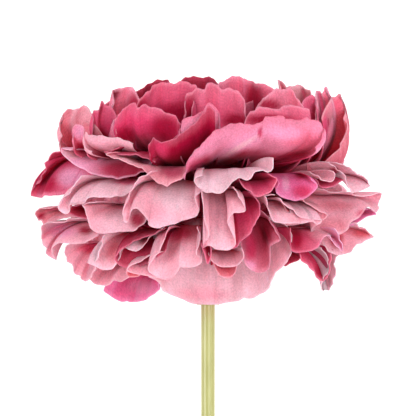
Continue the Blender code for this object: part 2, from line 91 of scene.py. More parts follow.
# Each petal that the front view shows: its way of growing, its dye, the height of its root or crest, how far its
# edge stands off the dome, and its free edge from one side round to the other, as (right, up) in millimetres.
PETALS = {
    "left_back": ("cup", "dusty", 50, -9, [(-53.5, 56), (-55, 58.5), (-54.5, 62),
        (-55.5, 64.5), (-55.3, 67), (-54, 70), (-52.8, 72), (-51.5, 72.8), (-48.5, 72.3), (-46, 73.6), (-43.5, 70.5),
        (-41.8, 66), (-40, 61)]),
    "left_tongue": ("cup", "candy", 50, 5, [(-48.5, 57), (-49, 59), (-49, 63), (-48.2, 65), (-46.8, 65.6),
        (-45.4, 65), (-44.9, 62), (-44.8, 59.5), (-43.6, 55.5)]),
    "left_wedge": ("cup", "clay", 46, -8, [(-47, 60), (-46, 67), (-42.3, 66.3), (-39.5, 63.5), (-37.5, 60)]),
    "left_point": ("cup", "fuchsia", 46, -6, [(-42.5, 60), (-42.3, 66), (-42.3, 71), (-40.2, 71.5), (-39.2, 72.3),
        (-38.8, 74.9), (-38.3, 73.8), (-36.2, 72.6), (-34, 70), (-32, 62)]),
    "upper_left": ("cup", "candy", 42, -7, [(-34, 60), (-34, 66.5), (-35.5, 68.7), (-36, 71), (-35, 74), (-35.2, 78.3),
        (-34.5, 79.2), (-32.5, 79.1), (-31, 79.7), (-29.2, 80.6), (-28, 79.4), (-26, 76.5), (-22, 68)]),
    "top_left": ("cup", "rose", 42, -8, [(-26, 62), (-26, 72), (-25, 75.5), (-23.5, 77), (-21, 78.8), (-20, 80),
        (-18, 80.8), (-16.2, 82), (-15, 81.4), (-12, 81.3), (-8, 81.7), (-6.5, 81), (-3.5, 78.8), (-6, 70),
        (-7, 60)]),
    # top_left_back and top_back sit far back and are maroon: painted shade between the top petals.
    "top_left_back": ("cup", "maroon", 42, -20, [(-27, 66), (-26.7, 76.5), (-25.5, 79), (-23.5, 79.8),
        (-21.8, 82), (-17, 82.9), (-14, 81), (-13, 70)]),
    "top_back": ("cup", "maroon", 42, -18, [(-12, 68), (-11, 80), (-10, 82), (-8, 83.5), (-5.5, 84.2), (-3, 84),
        (-1, 84.2), (2.5, 82.3), (4, 79), (4, 68)]),
    "top_middle": ("cup", "pink", 42, -8, [(-8.5, 64), (-8.3, 70), (-8.3, 76), (-6, 77.5), (-4, 78.8), (-1, 79),
        (0, 80.3), (1, 81.5), (3, 80), (5, 79), (8.5, 79.2), (10.5, 77.8), (12.5, 76), (14, 72), (14, 62)]),
    "top_right": ("cup", "pink", 42, -15, [(1, 66), (1.5, 78), (3, 80), (5, 82), (7, 83.6), (10, 84.1), (11.5, 84),
        (13, 83), (14.2, 83.2), (16, 82.8), (18, 81), (20, 81.4), (23, 80), (24.5, 79.7), (25.5, 77), (26, 66)]),
    "upper_right": ("cup", "candy", 42, -7, [(15, 62), (17, 70), (18.8, 73.5), (20.5, 75.5), (22.5, 77.3), (25, 78.8),
        (26.5, 78.8), (29, 79.5), (31, 78.5), (33, 76), (35, 72), (35, 62)]),
    "right_spike": ("cup", "dusty", 42, -15, [(24, 66), (26, 76), (27, 79.5), (27, 81), (26.2, 83), (27.5, 82),
        (29.5, 80.5), (32, 80.8), (33.5, 81.3), (34.7, 81.5), (36.3, 80.8), (38.2, 78), (38, 74), (37, 66)]),
    "right_round": ("cup", "fuchsia", 42, -9, [(33, 66), (34.5, 74), (37, 76.6), (39, 76.4), (40, 75), (39.8, 73.5),
        (40, 66)]),
    "right_narrow": ("cup", "candy", 42, -6, [(38, 60), (39.8, 72), (40.6, 78.5), (41, 78.8), (42.6, 77.9),
        (43.5, 80.3), (44.3, 80.7), (45.2, 77), (45.4, 75), (45, 72.5), (44, 70), (42.5, 66), (42, 60)]),
    "right_cup": ("cup", "clay", 38, -4, [(41.5, 68), (43, 72), (45.5, 76), (46.5, 76.8), (48, 77.2), (49, 78.1),
        (50, 77.6), (50, 76), (50.8, 73), (51, 71), (50, 68.6), (50.6, 66.5), (50.8, 64), (50.2, 61.5), (49, 59.3),
        (48.5, 57.3), (46, 55.3), (42.3, 51.8), (40, 51.2), (36, 51.2)]),
    "toothed_cup": ("cup", "rose", 50, 0, [(-33, 62.5), (-33.5, 64), (-33.3, 67), (-31.5, 70),
        (-30.2, 71.3), (-29.5, 72.7), (-28, 73.5), (-27, 73.8), (-26.3, 73), (-25.5, 71.7), (-24.8, 72),
        (-23.2, 73.4), (-22, 72.5), (-20, 72), (-15, 70), (-12.3, 69), (-11.3, 68), (-10.2, 65.5), (-11, 62.5),
        (-12.5, 60.3)]),
    "right_inner": ("cup", "pink", 48, -5, [(12, 60), (13.2, 66), (15, 70), (17, 71), (19, 71.8), (22, 72),
        (24, 71.3), (26, 71.5), (28, 72.5), (30, 73.3), (33, 72.2), (36, 71), (37, 69.3), (37.3, 67), (38, 60)]),
    "crimson_cup": ("cup", "crimson", 48, 3, [(-20.6, 54), (-21, 55.8), (-20.8, 58.5),
        (-19.8, 60.5), (-19.4, 60.8), (-18.2, 59.3), (-16.1, 58.6), (-14.8, 58.7), (-12.9, 59.8), (-10, 61.6),
        (-5, 65.8), (-1.3, 69.8), (0.3, 72.3), (2.5, 70.5)]),
    "lilac_flap": ("cup", "orchid", 46, 1, [(-10.2, 60), (-10, 63.5), (-9.5, 66), (-8.5, 67.3), (-5, 68.2),
        (-2, 70.4), (0.3, 73), (2.2, 71.6), (4, 70), (4, 66)]),
    "great_right": ("cup", "orchid", 50, 9, [(-8.6, 45.4), (-8, 47), (-7.1, 50.5), (-6, 52.9), (-3.9, 55.8), (0, 60),
        (3.5, 63.5), (5, 64.3), (7.5, 65.4), (10, 65.7), (14.5, 65.6), (15.8, 65), (17, 65.3), (19.5, 67),
        (21, 68.6), (22.5, 68), (26, 67.5), (31, 66.2), (34, 67), (36, 68), (37.3, 67), (40, 66), (41.3, 65),
        (41.6, 63), (41, 61), (40, 58.5), (38.5, 57)]),
    "left_flat": ("cup", "blush", 52, 3, [(-42, 56), (-44.2, 57), (-44.8, 60), (-44.4, 63.3), (-43.3, 61.7),
        (-40, 61.3), (-36, 60.8), (-31, 60), (-27, 58.8)]),
    "left_crescent": ("skirt", "crimson", 56, 1, [(-32, 57), (-37.3, 55.2), (-33, 54.6), (-28, 54.2), (-23, 53.2),
        (-19, 51.5)]),
    "far_left": ("skirt", "fuchsia", 56, -5, [(-52, 56), (-55, 56.4), (-57, 56), (-58.8, 54.5), (-60.5, 52),
        (-60, 50.5), (-61.2, 46.5), (-62.5, 44.8), (-64.5, 43), (-66.1, 40), (-65.5, 39.5), (-63.5, 39.4),
        (-60, 39.7), (-51, 40.3), (-50, 42), (-47, 45), (-40, 48)]),
    "left_lilac": ("skirt", "lavender", 54.5, 0, [(-50, 56), (-53.8, 57.4), (-53.2, 55), (-51.5, 53), (-49, 51),
        (-46, 49.5), (-40, 47.3), (-36, 46.3), (-32, 46), (-28, 46.5), (-24, 48), (-22, 48.7), (-20, 51)]),
    "left_strip": ("skirt", "dusty", 51.5, 3, [(-35, 54.9), (-37, 54.6), (-33, 53), (-29, 51.7), (-25, 50.8),
        (-23.5, 50), (-22, 48.3), (-20.5, 46.5), (-18.5, 44.5), (-16, 43.2), (-14.8, 42.8), (-13, 44), (-11, 45.2),
        (-9, 45.8), (-7, 49)]),
    "great_left": ("skirt", "pale", 47, 3, [(-46, 47), (-48.5, 44), (-50.5, 41), (-52, 38.7), (-53.3, 35.5),
        (-53.5, 34), (-52, 33.3), (-50.5, 34.5), (-50, 36.3), (-47, 36.5), (-45, 37), (-43, 38.3), (-41, 38.8),
        (-38, 38.8), (-34, 39.2), (-31, 40), (-28, 41.5), (-26, 43), (-24, 45), (-21, 48)]),
    "left_slot": ("skirt", "crimson", 36, -2, [(-44, 36.5), (-50, 35.8), (-50.5, 33.5), (-47, 32.2), (-43.5, 31.5),
        (-41, 33)]),
    "left_second": ("skirt", "blush", 37, 1, [(-40, 37.2), (-46, 37), (-45.5, 35.5), (-44.3, 34.3), (-44, 32),
        (-43.5, 30), (-42, 27.5), (-40, 26.3), (-37, 26.2), (-33, 26.6), (-29, 27), (-26.5, 27.3), (-24, 29.5),
        (-22, 31.5), (-20, 35)]),
    "left_curl": ("skirt", "dusty", 36, -5, [(-50, 35.3), (-53.5, 35.5), (-60, 35), (-63, 35), (-63.7, 33.5),
        (-63.6, 31), (-61.8, 30.8), (-61.2, 29), (-60.8, 28.5), (-59.3, 30), (-57, 30), (-55, 31), (-52, 32),
        (-46, 31)]),
    "left_hook": ("skirt", "blush", 31, -3, [(-46, 31.8), (-51, 31.5), (-53, 30.7), (-56.5, 30), (-59, 29.7),
        (-60.3, 28.7), (-61.5, 27), (-62, 25), (-62, 23.5), (-61, 21.5), (-59.8, 20), (-58.7, 17.2), (-57.5, 16.2),
        (-58.3, 17.8), (-57.5, 19.5), (-55.5, 21.8), (-51, 22.2), (-47, 21.9), (-44, 23), (-40, 25)]),
    "left_round": ("skirt", "blush", 23, -9, [(-44, 22.3), (-52, 22), (-52.8, 18), (-52.3, 16), (-50.5, 14),
        (-50, 12), (-48.5, 10.6), (-47, 10), (-46, 8.7), (-45.5, 8.1), (-44, 9.5), (-41.5, 13), (-38.5, 20)]),
    "low_left": ("skirt", "blush", 16, -14, [(-40, 13.3), (-44, 9.8), (-43, 8), (-41.5, 6.9), (-38, 6.5),
        (-36, 7.3), (-34.5, 8.5), (-32, 7.8), (-30, 9), (-27, 12)]),
    "low_magenta": ("skirt", "magenta", 13, -16, [(-33, 12), (-36.5, 7), (-38.2, 6), (-38.3, 4.2), (-36.5, 2.5),
        (-34.5, 0.9), (-32, 0.1), (-29, -0.2), (-25, 0.4), (-22.5, 1.3), (-20.5, 2.8), (-17.6, 5), (-18, 6.5),
        (-18.5, 8.3), (-21.5, 10), (-20, 13)]),
    "left_third": ("skirt", "pale", 27, 0, [(-37.5, 25.5), (-38.5, 23.5), (-38, 22.5), (-39.3, 19), (-40, 17),
        (-42, 15.5), (-44, 15.3), (-40.5, 13.7), (-38.5, 12.8), (-36, 13), (-34, 14.5), (-32.5, 16.5), (-32, 19.5),
        (-30.3, 21.2), (-28.5, 20.3), (-26.5, 19.7), (-24.5, 20.3), (-23, 21.5), (-20, 25), (-18.5, 26), (-15, 29)]),
    "middle_left": ("skirt", "blush", 46, 5, [(-20, 48), (-23.8, 46), (-24.5, 44.5), (-26, 42), (-28, 40),
        (-29.3, 37.5), (-30, 35), (-30.3, 32), (-29.8, 30), (-29, 29.8), (-28, 31), (-27, 33.5), (-26.3, 34.8),
        (-25, 34.7), (-23.5, 33), (-22, 31), (-21.3, 29.3), (-20, 28.3), (-18, 28.2), (-15, 29), (-11, 30),
        (-8, 31.2), (-5.5, 32.2), (-4, 33.2), (-3.7, 35), (-4.5, 39), (-3.5, 40), (-2.5, 41.7), (-3.5, 43.5)]),
    "low_band": ("skirt", "crimson", 28, -1, [(-15, 28), (-22, 25.5), (-30, 21), (-33.5, 17), (-31, 14), (-26, 14),
        (-20, 16), (-15, 20)]),
    "low_pale": ("skirt", "blush", 29, 4, [(-14, 28.5), (-16.5, 23), (-18.3, 19.5), (-20.5, 16.5), (-21, 13),
        (-18.5, 10.8), (-16, 9.6), (-13.5, 9.8), (-12, 11), (-11, 13),
        (-9.8, 14.3), (-6, 14), (-3, 15), (-1.6, 16.4), (-3.5, 19), (-2.9, 21.7), (-2.7, 25.7), (-3.9, 28.4)]),
    "low_lobe": ("skirt", "blush", 19, 4, [(-17, 19.3), (-21.5, 18.3), (-25, 16.3), (-28, 14.5), (-29.4, 12.7),
        (-25.5, 11.4), (-22, 10.8), (-18.5, 10.3), (-14, 10)]),
    "low_curl": ("skirt", "coral", 14, -2, [(-24, 14.5), (-27, 14.4), (-29, 13), (-29.3, 10.5), (-26, 10.3),
        (-24, 11.2), (-22.5, 12.8)]),
    "middle_pale": ("skirt", "shell", 50.5, 5, [(-2, 46.8), (-3.5, 46.2), (-4.8, 45), (-4, 43.5), (-2.5, 42), (-1, 41),
        (2, 40.4), (5, 40.4), (7.5, 42.7), (9.5, 44.8), (11, 45.8), (12.5, 45.3), (14, 45.2), (15.5, 46),
        (17.3, 48.3), (21.3, 48.3), (22.7, 49.5), (23, 51.5), (23.2, 53.3)]),
    "middle_tongue": ("skirt", "blush", 43, 6, [(-2.3, 42), (-2.6, 37), (-1.4, 31.5), (-0.2, 26.5), (-0.4, 25),
        (-1.4, 22), (-1.8, 20.9), (0.3, 22.1), (3.3, 20.7), (5.7, 20.1), (8, 20.4), (9.2, 22), (9.1, 24.1), (8, 27),
        (7.3, 30.5), (8.9, 33.1), (10.2, 33.5), (12.8, 33.6), (14, 35), (13.9, 36), (11.7, 39.2), (9.1, 42.6)]),
    "tongue_tail": ("skirt", "fuchsia", 24, 3, [(-2.6, 23), (-1.9, 20.8), (-1, 19), (-0.5, 17), (0, 15), (0.9, 17.5),
        (1.2, 20), (0.5, 23)]),
    "middle_strip": ("skirt", "fuchsia", 40, 2, [(9, 30), (9.2, 21), (11.5, 23.3), (15, 25.7), (16, 28), (17.5, 31),
        (18.8, 33), (19, 35), (19, 37.5), (17, 39), (14.5, 41)]),
    "mauve": ("skirt", "mauve", 33, 0, [(12, 30), (11.7, 22.6), (12.5, 16), (14.5, 13.5), (17, 12.2), (19, 12),
        (21.3, 13), (21.8, 15), (22, 20.5), (23.5, 22.5), (26, 23.5), (25.5, 25.5), (24, 28.5), (22.5, 31),
        (20.5, 33), (19, 34.5)]),
    "guard": ("skirt", "shell", 31, -4, [(-17, 28), (-21, 18), (-22, 11.5), (-20, 9.5), (-18.3, 8.1), (-16.1, 4.8),
        (-11, 2.3), (-6.6, 0.5), (-4.5, 0), (2.5, -0.2), (6, 0.4), (10.3, 1.3), (12.7, 2.4), (15, 2.1),
        (16.8, 2.4), (19.8, 4.1), (22.8, 6.6), (25, 10.7), (27.2, 13.9), (29, 16), (30.2, 19), (30.5, 22.5),
        (30, 25), (29, 27.5), (27, 29.3), (24, 32)]),
    "guard_fold": ("skirt", "blush", 20, 2, [(0, 19), (1.5, 16.5), (3.5, 14.7), (6, 13.9), (10, 14.3), (12, 16),
        (13, 18), (12, 21)]),
    "guard_round": ("skirt", "clay", 16, 0, [(1.5, 16.5), (2, 15.5), (3, 12.5), (5, 10.3), (7.5, 10), (9.5, 11.3),
        (10.3, 13.5), (10, 16)]),
    "red_cup": ("skirt", "rose", 46, 3, [(11, 46), (13, 43), (15, 41), (17.5, 39.3), (20, 39.8), (22.5, 41),
        (24, 43.5), (25, 46), (21.5, 47.5)]),
    "pointed": ("skirt", "magenta", 49, 3, [(25.5, 44), (24.2, 41), (25, 40.3), (26.5, 39), (28.5, 38.2),
        (31.5, 38), (34, 38.5), (36.5, 39.8), (38.5, 41.5), (39.5, 43.5), (37.5, 45.5)]),
    "right_pale": ("skirt", "pale", 49, 3, [(44, 52), (46.7, 48.6), (48.5, 48.3), (49.8, 46.5), (50.5, 44.5),
        (51.5, 43), (53, 41.3), (54.5, 41.5), (57, 42), (59, 43), (59.9, 43.8), (58.5, 45.3), (55.5, 47.5),
        (53, 49), (51, 50.5), (47, 51.8)]),
    "right_second": ("skirt", "blush", 47, -2, [(37, 48.5), (40, 46.3), (41.5, 45.5), (45, 44.8), (46, 47),
        (44.5, 49)]),
    "right_curls": ("skirt", "fuchsia", 45, -3, [(39, 46), (41, 42.6), (42.5, 42.3), (45, 43), (48, 44.7),
        (50, 46.5), (48, 48)]),
    "right_long": ("skirt", "blush", 41, -2, [(42, 31), (37.5, 26.8), (40, 26), (43, 25.2), (45, 25), (48, 25.5),
        (50, 26.5), (51.5, 28), (52.5, 30), (55, 31.5), (57, 33.5), (59.2, 35.8), (62, 33.8), (63, 34.5),
        (63.8, 36), (64.1, 38), (64, 40.2), (60, 40.2), (56, 40.3), (48.5, 41.5), (46, 41.5), (43, 42.3),
        (40, 42)]),
    "right_fold": ("skirt", "blush", 39, 4, [(24, 40), (20, 40), (20, 38.5), (21, 35.5), (22, 33), (24, 30.7),
        (27, 30), (30, 29.8), (34, 30), (37, 30.3), (40, 29.5), (40.8, 31), (35, 31.8), (31, 33.8), (28, 36),
        (25.5, 38.5)]),
    "right_fold_back": ("skirt", "dusty", 39, 2, [(26, 38), (29, 33.5), (34, 31.3), (40.5, 30.8), (42.5, 32.8),
        (38, 35), (34, 38.3), (30, 40)]),
    "right_under": ("skirt", "magenta", 34, -4, [(50, 28), (54, 29.4), (59, 32.5), (62.2, 32.8), (60, 35), (54, 35)]),
    "right_lower": ("skirt", "blush", 29, -6, [(42, 22), (44, 19.5), (46, 18.5), (49, 18.2), (52.5, 19),
        (53.5, 20.3), (54.8, 21.8), (56.5, 22), (58, 23), (61.2, 24.3), (60.3, 25), (60, 26.3), (58.3, 28),
        (56, 28.5), (53.5, 29.5), (51, 28.5), (48, 30)]),
    "right_funnel": ("skirt", "fuchsia-lavender", 28, -1, [(30, 28), (30.3, 20), (34, 19.5), (38, 20), (40, 21.5),
        (42, 24.3), (43.5, 25.2), (44.5, 24.3), (46, 21.7), (47.5, 20.3), (49.2, 19.3), (49.5, 22), (46, 28)]),
    "low_right_face": ("skirt", "rose", 22, -11, [(30, 20.5), (32.5, 19), (34, 16.8), (38, 12.5), (41.5, 8.6),
        (42.8, 8.4), (44, 11), (45, 14), (45.5, 20)]),
    "low_right": ("skirt", "shell", 22, -6, [(41, 20.5), (43.8, 18), (44.8, 15), (44.4, 12), (42.8, 8.5), (42.6, 4.3),
        (43.5, 5), (44.5, 4.2), (46, 5), (46.9, 7), (47, 10), (46.8, 14), (47.3, 17), (49.5, 19)]),
    # low_maroon: a small maroon sheet of painted shade in a gap at the lower right.
    "low_maroon": ("skirt", "maroon", 20, -12, [(27, 20), (27.5, 14), (30, 15), (33.8, 16.7), (33, 19.5)]),
}

# Patches of another colour: its name, the middle and the half width and height, in millimetres of the front view, and
# at times a turn in degrees. Most are painted light: the pale, shell and lavender ones are painted highlights, and the
# crimson, mauve and maroon ones are painted shade under folds, in curls and in hollows. A few, such as the fuchsia
# tips, are the petal's own dye.
LIGHT_AND_DYE_POOLS = {
    "left_lilac": [("crimson", -30, 49, 12, 4.4), ("lavender", -44, 53, 5, 2), ("pale", -50, 55, 4, 2)],
    "far_left": [("lavender", -50, 46.5, 6, 4), ("crimson", -60, 44, 5, 4)],
    "left_strip": [("mauve", -12.5, 48.5, 5, 3), ("blush", -30, 53, 6, 2)],
    "left_back": [("crimson", -51.5, 57, 3, 1.6)],
    "left_tongue": [("crimson", -46.5, 57, 2.5, 2.5), ("lavender", -47, 63, 2, 3)],
    "left_point": [("pink", -41.5, 67, 2, 4)],
    "upper_left": [("maroon", -34.2, 78, 2.2, 2.4), ("crimson", -27, 72, 3, 6)],
    "toothed_cup": [("crimson", -15.5, 64, 6, 5), ("mauve", -24, 58, 8, 3.5), ("crimson", -30, 62, 4, 3)],
    "top_left": [("crimson", -12, 70, 7, 4), ("crimson", -24, 71, 2.5, 5)],
    "top_middle": [("crimson", -6.5, 71, 3, 6), ("crimson", 10, 67, 5, 3)],
    "top_right": [("crimson", 17, 75, 3.5, 7), ("crimson", 3, 77, 2, 4)],
    "upper_right": [("crimson", 22, 73, 5, 2.4)],
    "right_narrow": [("crimson", 43.5, 67, 1.5, 3)],
    "right_inner": [("crimson", 22, 67.5, 10, 2)],
    "crimson_cup": [("fuchsia", -17.5, 56, 3.5, 4)],
    # great_right: a painted highlight along its diagonal fold ridge, with painted shade below the ridge and along its
    # foot.
    "great_right": [("candy", 31, 60, 9, 4), ("crimson", 16, 51.5, 10, 2.2), ("fuchsia", 29, 53, 10, 1.8),
        ("orchid", 22, 57.5, 8, 3), ("mauve", 12, 53, 9, 2, 20), ("lavender", 12, 58.3, 12, 2.4, 30),
        ("pale", 12, 57.7, 7, 0.9, 30), ("lavender", 27, 62, 7, 2.6), ("fuchsia", 18.6, 62.3, 1.0, 2.0),
        ("rose", -4, 49, 4, 4)],
    "right_cup": [("rose", 43, 62, 2, 9), ("candy", 47.5, 73.5, 3, 4)],
    "great_left": [("rose", -29, 44.8, 6, 1.4), ("crimson", -47, 35.6, 4, 1.6)],
    "left_second": [("pale", -34, 30, 8, 4), ("crimson", -25.5, 31, 3, 3)],
    "middle_left": [("shell", -12, 39, 8, 6), ("blush", -19, 33, 4, 4), ("crimson", -26.5, 31.5, 2.5, 2.2),
        ("pale", -24, 43, 3, 3)],
    "left_third": [("dusty", -34, 19, 3, 4), ("crimson", -22, 24, 3, 3)],
    "low_pale": [("rose", -11, 26, 6, 3), ("pale", -8, 18, 4, 6), ("pale", -17, 13, 5, 2.6)],
    "low_lobe": [("pale", -20, 15, 4, 3)],
    "guard": [("dusty", -17, 16, 4, 8), ("blush", 26, 18, 4, 9), ("blush", -4, 3, 12, 3)],
    "middle_tongue": [("pale", 4, 24, 4, 4), ("fuchsia", -1.5, 21, 1.6, 2.5)],
    "mauve": [("maroon", 21, 26, 2, 4, 20), ("fuchsia", 15.5, 21, 2, 5), ("lavender", 14.5, 14.5, 3, 2)],
    "right_long": [("dusty", 44, 29, 8, 3), ("dusty", 46, 36, 7, 2), ("fuchsia", 58, 33, 4, 1.8), ("pale", 54, 38.5, 8, 1.5)],
    "right_fold": [("pale", 28, 33, 5, 2)],
    "right_fold_back": [("crimson", 29, 36, 4, 3), ("blush", 38, 33, 4, 2)],
    "right_lower": [("crimson", 47, 24, 3, 4), ("coral", 57, 26, 4, 2)],
    "right_funnel": [("crimson", 32, 24, 2.5, 4), ("blush", 41, 26, 4, 2.4), ("lavender", 46, 23, 2, 3)],
    "low_right_face": [("crimson", 41, 11, 2, 4)],
    "right_pale": [("crimson", 46, 49, 2, 1.5)],
    "pointed": [("crimson", 34, 47, 3, 1.6), ("lavender", 28, 44, 1.5, 3), ("fuchsia", 34, 41, 4, 2.5)],
    "low_magenta": [("lavender", -25, 6, 5, 3)],
    "left_round": [("rose", -42, 20.5, 6, 2.5)],
    "left_hook": [("crimson", -45, 27, 3, 1.6), ("lavender", -54, 27, 6, 3)],
    "left_curl": [("crimson", -62, 32, 2, 1.6)],
}


def smooth_line(points, spacing):
    """A smooth line through the points, as evenly spaced ones."""
    points = np.array(points, float)
    ends = np.vstack([2 * points[0] - points[1], points, 2 * points[-1] - points[-2]])
    t = np.linspace(0, 1, 12, endpoint=False)[:, None]
    runs = []
    for a, b, c, d in zip(ends, ends[1:], ends[2:], ends[3:]):
        runs.append(
            0.5 * (2 * b + (c - a) * t + (2 * a - 5 * b + 4 * c - d) * t**2 + (3 * b - a - 3 * c + d) * t**3)
        )
    line = np.vstack([*runs, points[-1:]])
    steps = np.linalg.norm(np.diff(line, axis=0), axis=1)
    along = np.concatenate([[0], np.cumsum(steps)])
    count = int(max(along[-1] / spacing, 12))
    wanted = np.linspace(0, along[-1], count)
    return np.stack([np.interp(wanted, along, line[:, i]) for i in range(line.shape[1])], axis=1), wanted


def dome_front(right, up):
    """How far in front of the axis the bloom's outside is at each place of the front view."""
    half = np.where(up > DOME_MIDDLE, DOME_ABOVE, DOME_BELOW)
    ring = DOME_RADIUS * np.maximum(1 - np.abs((up - DOME_MIDDLE) / half) ** 2.5, 0) ** 0.4
    return np.sqrt(np.maximum(ring**2 - right**2, 0))


def ribs_to(edge, kind, height, stations):
    """The petal's grid of points, by rib and by station, from its root at the axis out to its edge."""
    middle = edge.mean(axis=0)
    across = math.hypot(middle[0], middle[2])
    toward = np.array([middle[0], 0, middle[2]]) / max(across, 1e-6)
    root_up = 0.5 * height if kind == "skirt" else height
    root = toward * min(ROOT_RADIUS, 0.25 * across) + np.array([0, root_up, 0])
    out = edge - root
    out[:, 1] = 0
    rise = edge[:, 1] - root_up
    if kind == "skirt":
        crest = np.maximum(height, edge[:, 1] + 0.3)
        control = (crest - 0.125 * (root_up + edge[:, 1])) / 0.75
        control = np.minimum(control, crest + 0.3 * (crest - edge[:, 1]) + 0.5)
        first = root + out * 0.4
        second = root + out * 0.9
        first[:, 1] = control
        second[:, 1] = control
    else:
        bulge = 1.05 + 0.008 * np.maximum(edge[:, 1] - 60, 0)
        first = root + out * 0.8
        first[:, 1] = root_up + 0.1 * rise
        second = root + out * bulge[:, None]
        second[:, 1] = root_up + 0.45 * rise
    v = stations[None, :, None]
    first, second, edge = first[:, None], second[:, None], edge[:, None]
    return root * (1 - v) ** 3 + 3 * first * v * (1 - v) ** 2 + 3 * second * v**2 * (1 - v) + edge * v**3


def turned(points, angle):
    """The points turned about the flower's axis."""
    c, s = math.cos(angle), math.sin(angle)
    right, up, front = points[..., 0], points[..., 1], points[..., 2]
    return np.stack([right * c + front * s, up, front * c - right * s], axis=-1)


def laid_down(points):
    """Points of the flower's frame, in the lying flower's place on the surface."""
    points = np.asarray(points, float)
    right, up, front = points[..., 0], points[..., 1] - REST_UP, points[..., 2]
    c, s = math.cos(TILT), math.sin(TILT)
    along = up * c - front * s
    return np.stack([PLACE_RIGHT + right, PLACE_ALONG + along, AXIS_HEIGHT + up * s + front * c], axis=-1)


def pressed(placed):
    """The placed points with what is near the surface eased down onto it, each still above what it was above."""
    reach = PRESS_BELOW - CLOTH
    low = CLOTH + reach * np.exp(np.minimum(placed[..., 2] - PRESS_BELOW, 0) / reach)
    placed[..., 2] = np.where(placed[..., 2] < PRESS_BELOW, low, placed[..., 2])
    return placed


def normals_of(grid):
    normal = np.cross(np.gradient(grid, axis=0), np.gradient(grid, axis=1))
    return normal / np.maximum(np.linalg.norm(normal, axis=2, keepdims=True), 1e-9)


class Cloth:
    """Collects petals and makes one mesh of them, with each point's colour, its dye with painted highlights and
    painted shade laid on, and its place in the cloth.
    """

    def __init__(self):
        self.points = []
        self.faces = []
        self.dye_and_light_tints = []
        self.places = []
        self.count = 0

    def add(self, grid, dye, place):
        rows, columns, _ = grid.shape
        half = normals_of(grid) * CLOTH / 2
        size = rows * columns
        self.points += [(grid + half).reshape(-1, 3), (grid - half).reshape(-1, 3)]
        self.dye_and_light_tints += [dye.reshape(-1, 3)] * 2
        self.places += [place.reshape(-1, 2)] * 2
        number = np.arange(size).reshape(rows, columns) + self.count
        a, b, c, d = number[:-1, :-1], number[1:, :-1], number[1:, 1:], number[:-1, 1:]
        top = np.stack([a, b, c, d], axis=-1).reshape(-1, 4)
        border = np.concatenate([number[:, 0], number[-1, 1:], number[-2::-1, -1], number[0, -2:0:-1]])
        after = np.roll(border, -1)
        rim = np.stack([after, border, border + size, after + size], axis=-1)
        self.faces += [top, top[:, ::-1] + size, rim]
        self.count += 2 * size

    def make(self, name, material):
        points = np.concatenate(self.points) * MM
        faces = np.concatenate(self.faces)
        mesh = bpy.data.meshes.new(name)
        mesh.from_pydata(points.tolist(), [], faces.tolist())
        # Each point's colour, with the painted highlights and painted shade in it.
        dye = mesh.color_attributes.new("dye", "FLOAT_COLOR", "POINT")
        colors = np.column_stack([np.concatenate(self.dye_and_light_tints), np.ones(self.count)])
        dye.data.foreach_set("color", colors.ravel())
        uv = mesh.uv_layers.new(name="cloth")
        corner = np.empty(len(mesh.loops), np.int32)
        mesh.loops.foreach_get("vertex_index", corner)
        uv.data.foreach_set("uv", np.concatenate(self.places)[corner].ravel())
        mesh.shade_smooth()
        mesh.materials.append(material)
        piece = bpy.data.objects.new(name, mesh)
        bpy.context.scene.collection.objects.link(piece)
        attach(piece, "root")
        return piece


def blend(a, b, t):
    return a + (b - a) * t


def smoothstep(low, high, x):
    t = np.clip((x - low) / (high - low), 0, 1)
    return t * t * (3 - 2 * t)


def ruffled(grid, length, v, draw, strength):
    """The grid with waves that grow towards the edge, and soft folds that run out from the root. A small petal has
    less of them."""
    reach = length[-1]
    strength *= min(reach / WAVY_REACH, 1)
    waves = np.zeros(len(length))
    for wavelength, size in ((38, 1.3), (19, 0.4)):
        phase = draw.uniform(0, 2 * math.pi)
        stretch = draw.uniform(0.8, 1.25)
        waves += size * np.sin(2 * math.pi * length / (wavelength * stretch) + phase)
    folds = np.abs(np.sin(math.pi * length / max(reach, 1) * draw.choice((2, 3, 4)) + draw.uniform(0, 3))) - 0.6
    curl = 0.7 * np.sin(2 * math.pi * length / draw.uniform(11, 16) + draw.uniform(0, 2 * math.pi))
    ends = smoothstep(0, 0.12, length / reach) * smoothstep(0, 0.12, 1 - length / reach)
    lift = waves[:, None] * (v**3)[None, :] + 0.9 * folds[:, None] * (v**1.5 * (1.15 - v) * 2)[None, :]
    lift += curl[:, None] * (v**10)[None, :]
    return grid + normals_of(grid) * (lift * (0.3 + 0.7 * ends[:, None]) * strength)[..., None]


